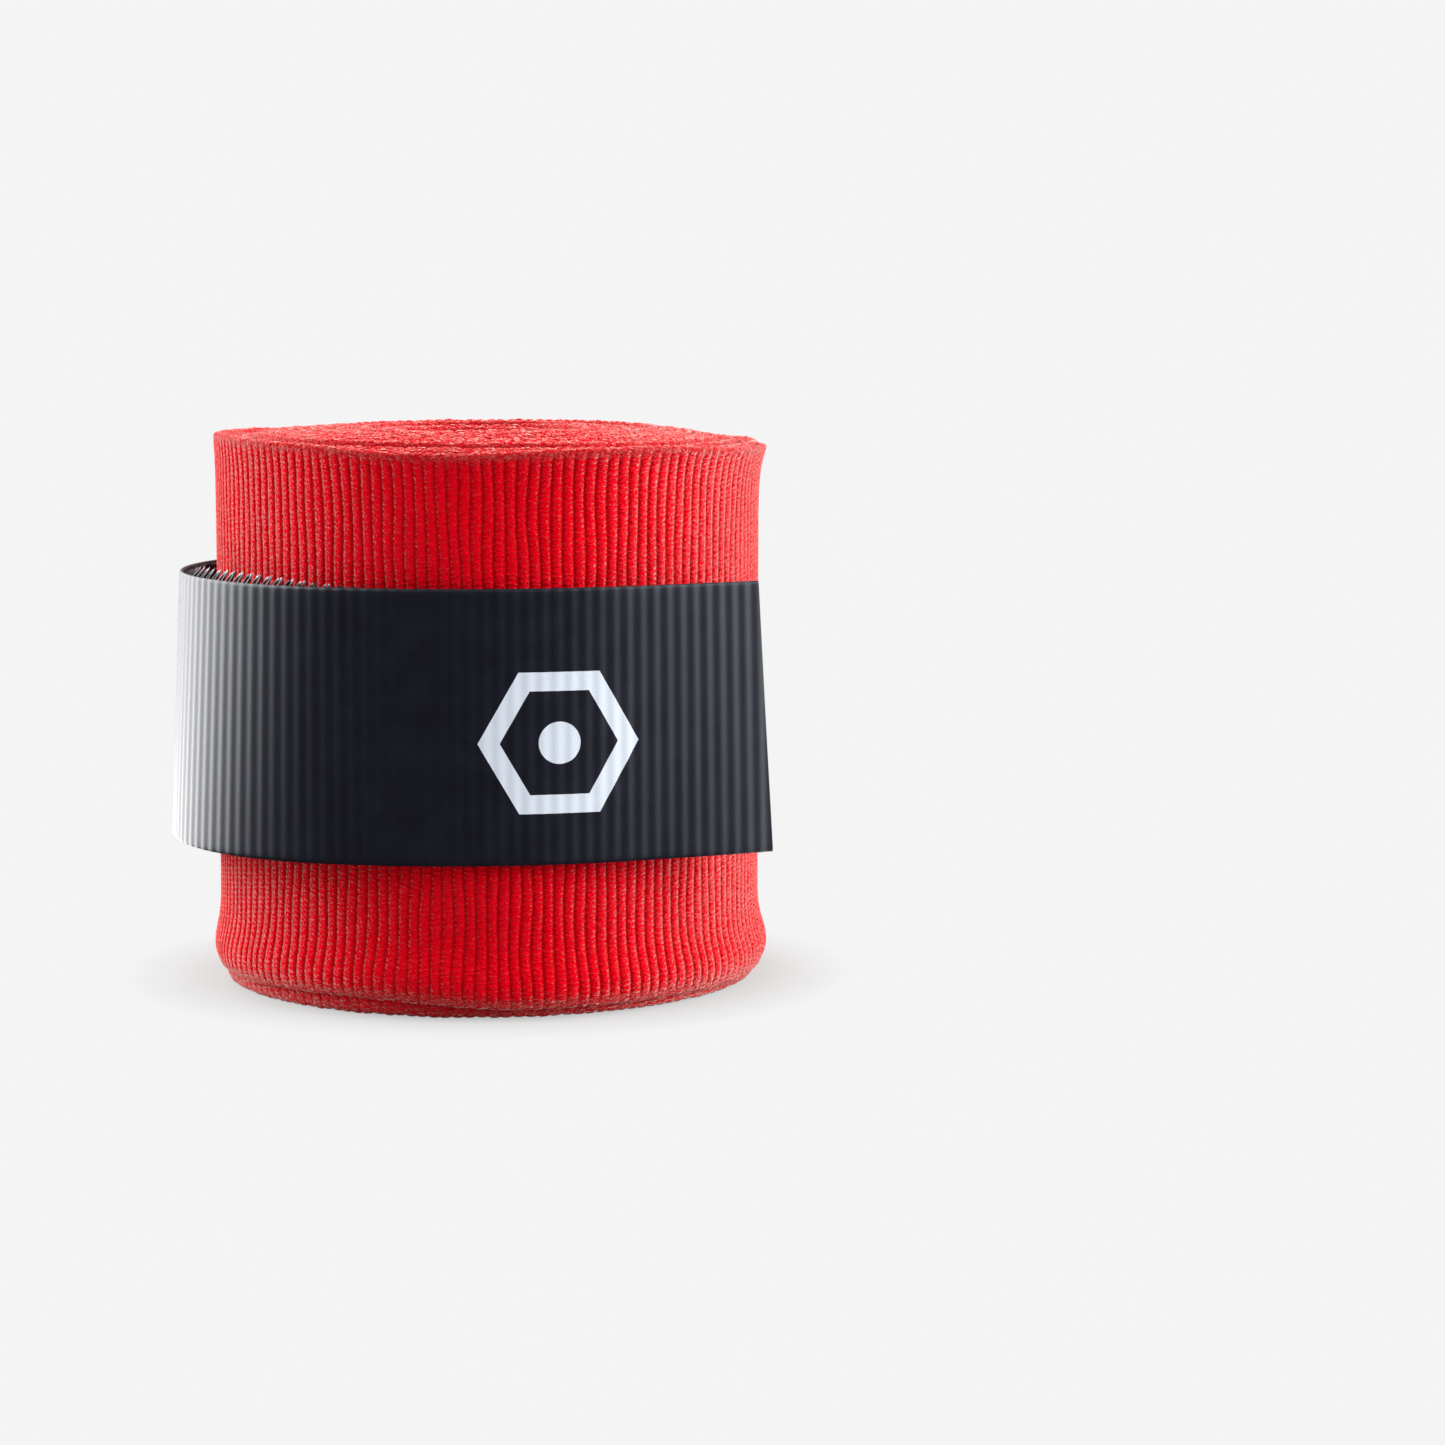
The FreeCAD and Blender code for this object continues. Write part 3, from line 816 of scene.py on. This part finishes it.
def mark_mask(shader, along, up):
    """A plain six-sided ring with a dot, printed near the strap's free end."""
    x = shader.math("SUBTRACT", along, MARK_PLACE[0])
    y = shader.math("SUBTRACT", up, MARK_PLACE[1])
    flat_side = shader.math("ABSOLUTE", y)
    slant = shader.math(
        "ADD",
        shader.math("MULTIPLY", shader.math("ABSOLUTE", x), math.sqrt(3) / 2),
        shader.math("MULTIPLY", flat_side, 0.5),
    )
    size = shader.math("MAXIMUM", flat_side, slant)
    ring = shader.math("ABSOLUTE", shader.math("SUBTRACT", size, MARK_RING))
    ring = shader.math("LESS_THAN", ring, MARK_LINE / 2)
    squares = shader.math("ADD", shader.math("MULTIPLY", x, x), shader.math("MULTIPLY", y, y))
    dot = shader.math("LESS_THAN", shader.math("SQRT", squares), MARK_DOT)
    return shader.math("MULTIPLY", shader.math("MAXIMUM", ring, dot), shader.value("outside"))


def strap_material():
    """Satin black moulded plastic, with a fine diagonal grain and a printed mark. Some hook tips at the
    rim carry painted glints.
    """
    shader = Shader("hook_tape_moulded")
    uv, along, up = shader.uv()
    diagonal = shader.math("ADD", along, up)
    grain = shader.math("SINE", shader.math("MULTIPLY", diagonal, 2 * math.pi / GRAIN_PITCH))
    cloud = shader.noise(uv, 0.35, 3.0)
    speck = shader.noise(uv, 5.0, 2.0)
    tone = shader.ramp(cloud, [(0.3, (0.0050, 0.0050, 0.0100)), (0.7, (0.0078, 0.0078, 0.0168))])
    mask = mark_mask(shader, along, up)
    tone = shader.mix(mask, tone, MARK_TONE)
    # Painted glints: the tips of some rim hooks are painted pale grey, standing in for light caught on
    # them.
    glint = shader.math("MULTIPLY", shader.value("glint"), 0.75)
    tone = shader.mix(glint, tone, GLINT_TONE)
    roughness = shader.math("MULTIPLY_ADD", speck, 0.14, 0.34)
    height = shader.math("ADD", shader.math("MULTIPLY", grain, 0.3), shader.math("MULTIPLY", speck, 0.8))
    normal = shader.bump(height, 0.012 * MM)
    shader.put(
        shader.surface,
        {
            "Base Color": tone,
            "Normal": normal,
            "Roughness": roughness,
            "Specular IOR Level": 0.27,
            "Specular Tint": (0.90, 0.96, 1.0, 1),
        },
    )
    return shader.material


TWILL_PITCH = 0.5  # of the thumb loop's twill, in millimetres


def loop_material():
    """Black woven tape: a tight twill."""
    shader = Shader("loop_tape_woven")
    uv, along, up = shader.uv()
    phase = shader.math("FRACT", shader.math("MULTIPLY", along, MM / WEAVE_PITCH))
    slant = shader.math("ABSOLUTE", shader.math("SUBTRACT", phase, 0.5))
    row = shader.math("ADD", up, shader.math("MULTIPLY", slant, 0.9))
    weave = shader.math("SINE", shader.math("MULTIPLY", row, 2 * math.pi / TWILL_PITCH))
    fibres = shader.noise(uv, 6.0, 2.0)
    tone = shader.ramp(weave, [(0.0, (0.004, 0.004, 0.005)), (1.0, (0.022, 0.022, 0.024))])
    height = shader.math("ADD", weave, fibres)
    normal = shader.bump(height, 0.08 * MM)
    shader.put(
        shader.surface,
        {
            "Base Color": tone,
            "Normal": normal,
            "Roughness": 0.62,
            "Specular IOR Level": 0.25,
            "Sheen Weight": 0.08,
            "Sheen Roughness": 0.4,
        },
    )
    return shader.material


def thread_material():
    """Black sewing thread."""
    shader = Shader("sewing_thread")
    place = shader.node("ShaderNodeTexCoord")
    twist = shader.node(
        "ShaderNodeTexWave", {"bands_direction": "DIAGONAL"}, Vector=place.outputs["Object"], Scale=900.0
    )
    tone = shader.ramp(twist.outputs["Fac"], [(0.0, (0.006, 0.006, 0.007)), (1.0, (0.03, 0.03, 0.033))])
    normal = shader.bump(twist.outputs["Fac"], 0.03 * MM)
    shader.put(shader.surface, {"Base Color": tone, "Normal": normal, "Roughness": 0.55})
    return shader.material


# -------------------------------------------------------------------- stage
BACKDROP = 0.905
SHADOW = 0.45  # how much of the shadows on the floor is seen
SHADOW_REACH = (0.026, 0.035)  # they fade between these distances from the roll's axis
FLOOR_REACH = 12.0
# The sky's glow, from front to back, and the soft panels on it: direction, inner and outer half
# angles in degrees, brightness.
SKY = (0.05, 0.65)
SKY_EDGES = (-0.55, 0.35)  # where that glow starts and ends, as the direction's reach to the back
PANELS = (
    ((-0.82, 0.54, 0.45), 25, 42, 7.6),
    ((0.92, -0.05, 0.42), 24, 42, 8.0),
    ((0.62, -0.76, 0.10), 8, 34, 0.10),
    ((-0.80, -0.10, 0.52), 15, 36, 2.4),
    ((0.0, -0.60, 0.80), 18, 46, 0.4),
)


def sky_light(nodes, links, direction):
    """The sky's brightness in a direction. It is dark in front, where the strap would mirror it."""

    def lobe(axis, outer, inner, low, high):
        dot = nodes.new("ShaderNodeVectorMath")
        dot.operation = "DOT_PRODUCT"
        links.new(direction, dot.inputs[0])
        dot.inputs[1].default_value = Vector(axis).normalized()
        step = nodes.new("ShaderNodeMapRange")
        step.interpolation_type = "SMOOTHSTEP"
        links.new(dot.outputs["Value"], step.inputs["Value"])
        for key, value in zip(("From Min", "From Max", "To Min", "To Max"), (outer, inner, low, high)):
            step.inputs[key].default_value = value
        return step.outputs[0]

    total = lobe((0, 1, 0), *SKY_EDGES, *SKY)
    for axis, inner, outer, strength in PANELS:
        panel = lobe(axis, math.cos(math.radians(outer)), math.cos(math.radians(inner)), 0.0, strength)
        add = nodes.new("ShaderNodeMath")
        links.new(total, add.inputs[0])
        links.new(panel, add.inputs[1])
        total = add.outputs[0]
    return total


def floor_tone():
    """The floor's tone that makes it as bright as the backdrop under this sky."""
    rise, turn = np.meshgrid((np.arange(180) + 0.5) / 180, (np.arange(360) + 0.5) * math.pi / 180)
    level = np.sqrt(1 - rise**2)
    ways = np.stack([level * np.cos(turn), level * np.sin(turn), rise], axis=-1)
    light = SKY[0] + (SKY[1] - SKY[0]) * smooth(ways[..., 1], *SKY_EDGES)
    for axis, inner, outer, strength in PANELS:
        dot = ways @ np.array(Vector(axis).normalized())
        inner, outer = math.cos(math.radians(inner)), math.cos(math.radians(outer))
        light = light + strength * smooth(dot, outer, inner)
    return BACKDROP / float(np.mean(2 * light * rise))


def make_stage():
    """A pale floor with faint shadows that runs on into the backdrop. In gloss it carries on the sky."""
    mesh = bpy.data.meshes.new("floor")
    corners = [(x * FLOOR_REACH, y * FLOOR_REACH, 0) for x, y in ((-1, -1), (1, -1), (1, 1), (-1, 1))]
    mesh.from_pydata(corners, [], [(0, 1, 2, 3)])
    floor = bpy.data.objects.new("floor", mesh)
    bpy.context.scene.collection.objects.link(floor)
    shader = Shader("floor_paper")
    path = shader.node("ShaderNodeLightPath")
    seen, gloss = path.outputs["Is Camera Ray"], path.outputs["Is Glossy Ray"]
    place = shader.node("ShaderNodeTexCoord").outputs["Object"]
    distance = shader.node("ShaderNodeVectorMath", {"operation": "LENGTH"})
    shader.put(distance, {0: place})
    far = shader.node("ShaderNodeMapRange", Value=distance.outputs["Value"])
    shader.put(far, {"From Min": SHADOW_REACH[0], "From Max": SHADOW_REACH[1], "To Min": 1 - SHADOW})
    way = shader.node("ShaderNodeVectorMath", {"operation": "NORMALIZE"})
    shader.put(way, {0: place})
    mirrored = sky_light(shader.tree.nodes, shader.tree.links, way.outputs["Vector"])
    tone = floor_tone()
    paper = {"Base Color": (tone, tone, tone, 1), "Roughness": 1.0, "Specular IOR Level": 0.0}
    shader.put(shader.surface, paper)
    pale = (BACKDROP, BACKDROP, BACKDROP, 1)
    glow = shader.node("ShaderNodeEmission", Color=shader.mix(gloss, pale, mirrored))
    share = shader.math("MAXIMUM", shader.math("MULTIPLY", far.outputs[0], seen), gloss)
    blend = shader.tree.nodes.new("ShaderNodeMixShader")
    shader.put(blend, {0: share, 1: shader.surface.outputs[0], 2: glow.outputs[0]})
    shader.tree.links.new(blend.outputs[0], shader.tree.nodes["Material Output"].inputs["Surface"])
    mesh.materials.append(shader.material)


def make_lights():
    """Soft light from the sky alone, so the floor is evenly lit."""
    world = bpy.data.worlds.new("studio")
    bpy.context.scene.world = world
    world.use_nodes = True
    nodes, links = world.node_tree.nodes, world.node_tree.links
    total = sky_light(nodes, links, nodes.new("ShaderNodeTexCoord").outputs["Generated"])
    ray = nodes.new("ShaderNodeLightPath")
    pick = nodes.new("ShaderNodeMix")
    links.new(ray.outputs["Is Camera Ray"], pick.inputs[0])
    links.new(total, pick.inputs[2])
    pick.inputs[3].default_value = BACKDROP
    links.new(pick.outputs[0], nodes["Background"].inputs["Color"])
    nodes["Background"].inputs["Strength"].default_value = 1.0


LENS = 94.3
SENSOR_WIDTH = 36.0
CAMERA_PLACE = (0, -0.361, 0.0675)
CAMERA_DOWN = 6.9  # degrees below level
CAMERA_RIGHT = 3.58  # degrees to the right of straight ahead


def make_camera():
    """The photograph's view: a long lens a little above the roll, which stands left of the middle."""
    data = bpy.data.cameras.new("camera")
    data.lens = LENS
    data.sensor_width = SENSOR_WIDTH
    camera = bpy.data.objects.new("camera", data)
    camera.location = CAMERA_PLACE
    camera.rotation_euler = (math.radians(90 - CAMERA_DOWN), 0, math.radians(-CAMERA_RIGHT))
    bpy.context.scene.collection.objects.link(camera)
    bpy.context.scene.camera = camera


def finish_cad_nodes(thread):
    """The stitches stay as the CAD has them, with thread for their material."""
    for node in ("strap_stitches", "loop_stitches"):
        item = frame["nodes"][node]
        item.data.materials.clear()
        item.data.materials.append(thread)


bpy.context.scene.view_settings.view_transform = "Standard"
make_webbing(webbing_material())
make_strap(strap_material())
make_thumb_loop(loop_material())
finish_cad_nodes(thread_material())
make_stage()
make_lights()
make_camera()
